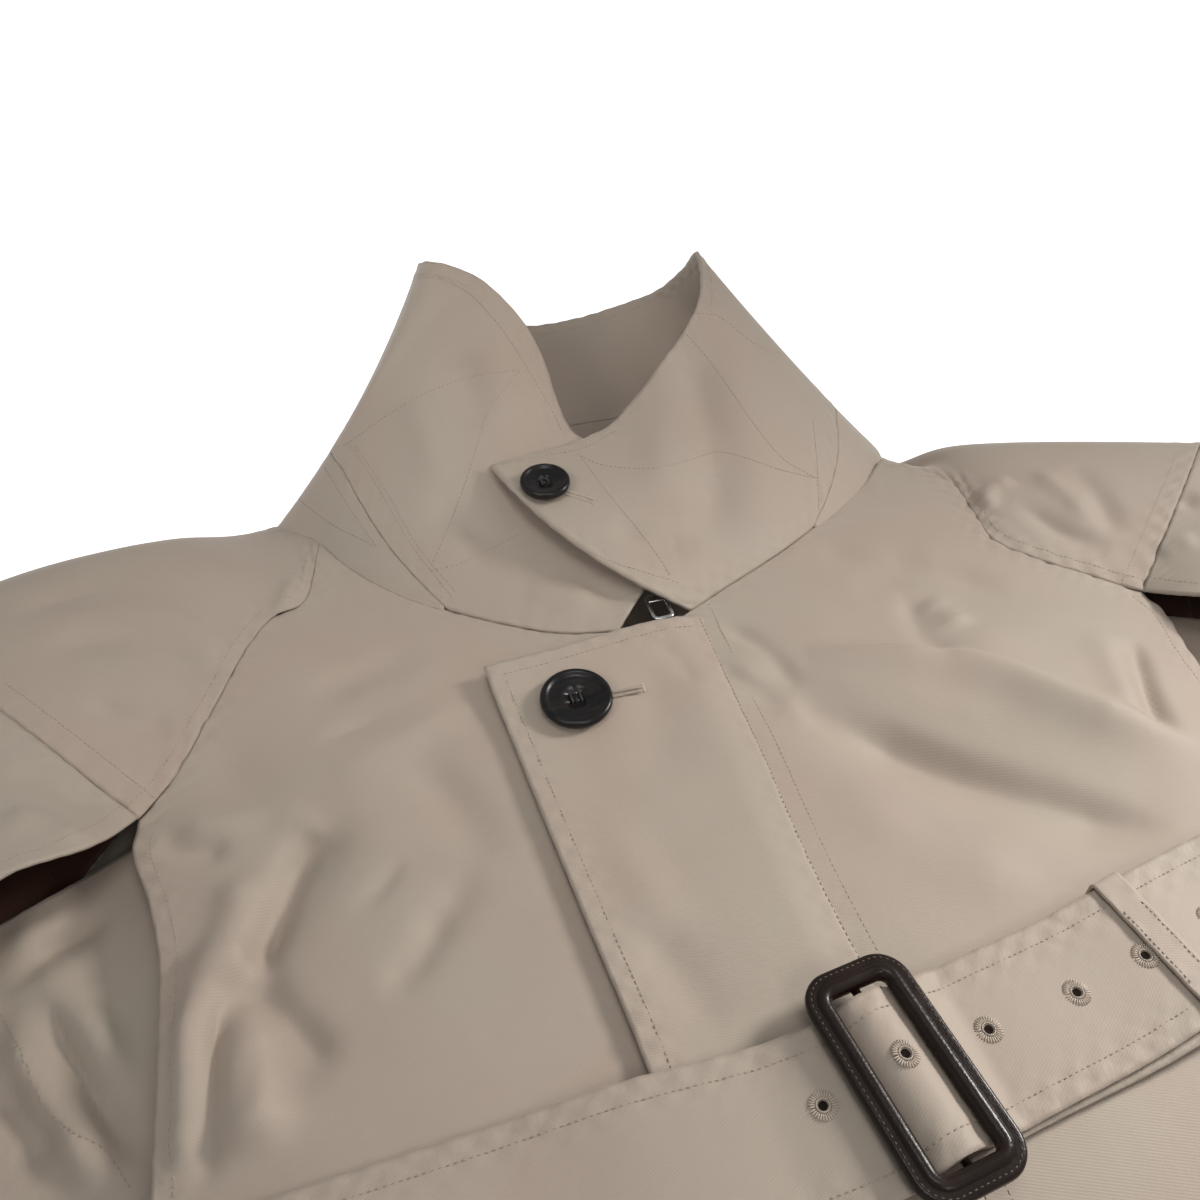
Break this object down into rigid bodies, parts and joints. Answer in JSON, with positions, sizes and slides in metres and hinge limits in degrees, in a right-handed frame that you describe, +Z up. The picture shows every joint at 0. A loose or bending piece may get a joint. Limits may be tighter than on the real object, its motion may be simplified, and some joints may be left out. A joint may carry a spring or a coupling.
{
  "type": "trench coat",
  "caption": "Belted trench coat laid flat, front up, with a buttoned wide collar, a storm flap over a zip, open underarm slits and raglan sleeves.",
  "frame": {"origin": "middle of the coat's underside, on the surface it lies on", "axes": "+X towards the wearer's left, +Y towards the head, +Z up off the surface"},
  "size_m": [1.2274, 0.9844, 0.1125],
  "materials": {
    "coat_cloth": "cotton twill, soft sheen",
    "buckle_leather": "polished leather cover",
    "button_horn": "satin dark horn",
    "zip_metal": "polished nickel"
  },
  "bodies": {
    "coat": {"back_panel": "coat_cloth", "side_right": "coat_cloth", "side_left": "coat_cloth", "front_right": "coat_cloth", "front_left": "coat_cloth", "storm_flap": "coat_cloth", "shoulder_right": "coat_cloth", "shoulder_left": "coat_cloth", "sleeve_right": "coat_cloth", "sleeve_left": "coat_cloth", "collar_fall": "coat_cloth", "collar_stand": "coat_cloth", "belt": "coat_cloth", "belt_keeper": "coat_cloth", "buckle": "buckle_leather", "button_front_1": "button_horn", "button_front_2": "button_horn", "button_front_3": "button_horn", "button_collar": "button_horn", "zip_rail_right": "zip_metal", "zip_rail_left": "zip_metal", "zip_slider": "zip_metal"},
    "pull": {"zip_pull": "zip_metal"}
  },
  "joints": [
    {"name": "pull_hinge", "type": "hinge", "parent": "coat", "child": "pull", "pos_m": [-0.001, 0.25827, 0.03285], "axis": [1, 0, 0], "range_deg": [0, 10]}
  ]
}
